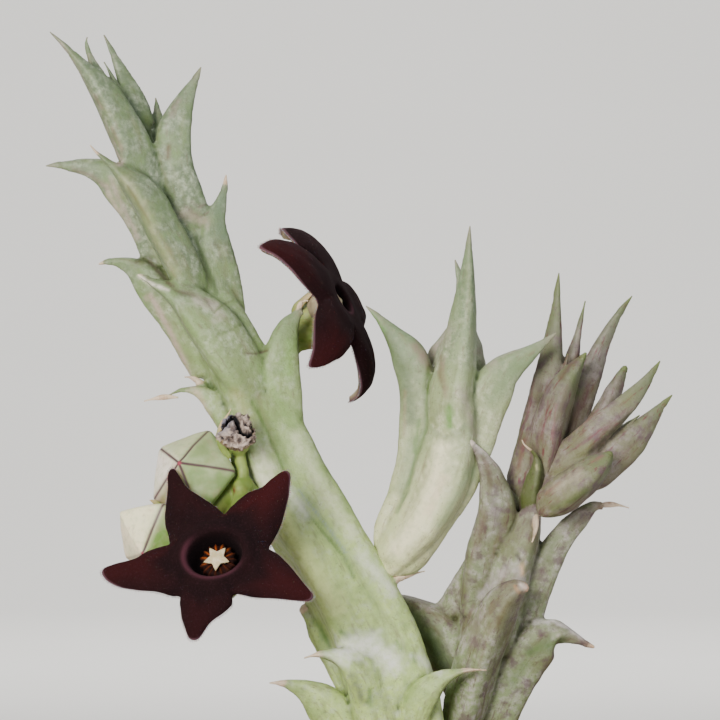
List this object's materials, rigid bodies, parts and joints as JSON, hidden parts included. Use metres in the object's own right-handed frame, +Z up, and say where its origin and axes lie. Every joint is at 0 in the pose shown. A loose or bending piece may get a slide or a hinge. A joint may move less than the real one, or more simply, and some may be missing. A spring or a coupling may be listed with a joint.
{
  "type": "potted plant",
  "caption": "Potted leafless succulent with toothed four-angled stems and dark star-shaped flowers.",
  "frame": {"origin": "centre of the underside of the pot's foot", "axes": "+Z up, +X to the viewer's right, +Y away from the viewer"},
  "size_m": [0.085, 0.085, 0.1488],
  "materials": {
    "terracotta": "matt fired clay",
    "gritty_soil": "loose grit and peat",
    "pale_green_skin": "waxy matt plant skin",
    "cream_green_skin": "waxy matt plant skin",
    "mottled_mauve_skin": "waxy matt plant skin",
    "fresh_green_stalk": "smooth plant skin",
    "maroon_petal": "velvety petal",
    "rust_corona": "satin flesh",
    "cream_star": "satin flesh",
    "cream_green_bud": "smooth plant skin",
    "dry_petal": "dry crumpled petal"
  },
  "bodies": {
    "root": {"pot": "terracotta", "soil": "gritty_soil", "stem_left": "pale_green_skin", "stem_middle": "cream_green_skin", "stem_right": "mottled_mauve_skin", "shoot_upper": "mottled_mauve_skin", "shoot_side": "mottled_mauve_skin", "cluster_stalks": "fresh_green_stalk", "side_stalk": "fresh_green_stalk", "front_corolla": "maroon_petal", "side_corolla": "maroon_petal", "front_corona": "rust_corona", "side_corona": "rust_corona", "front_star": "cream_star", "side_star": "cream_star", "upper_bud": "cream_green_bud", "lower_bud": "cream_green_bud", "withered_flower": "dry_petal"}
  },
  "joints": []
}
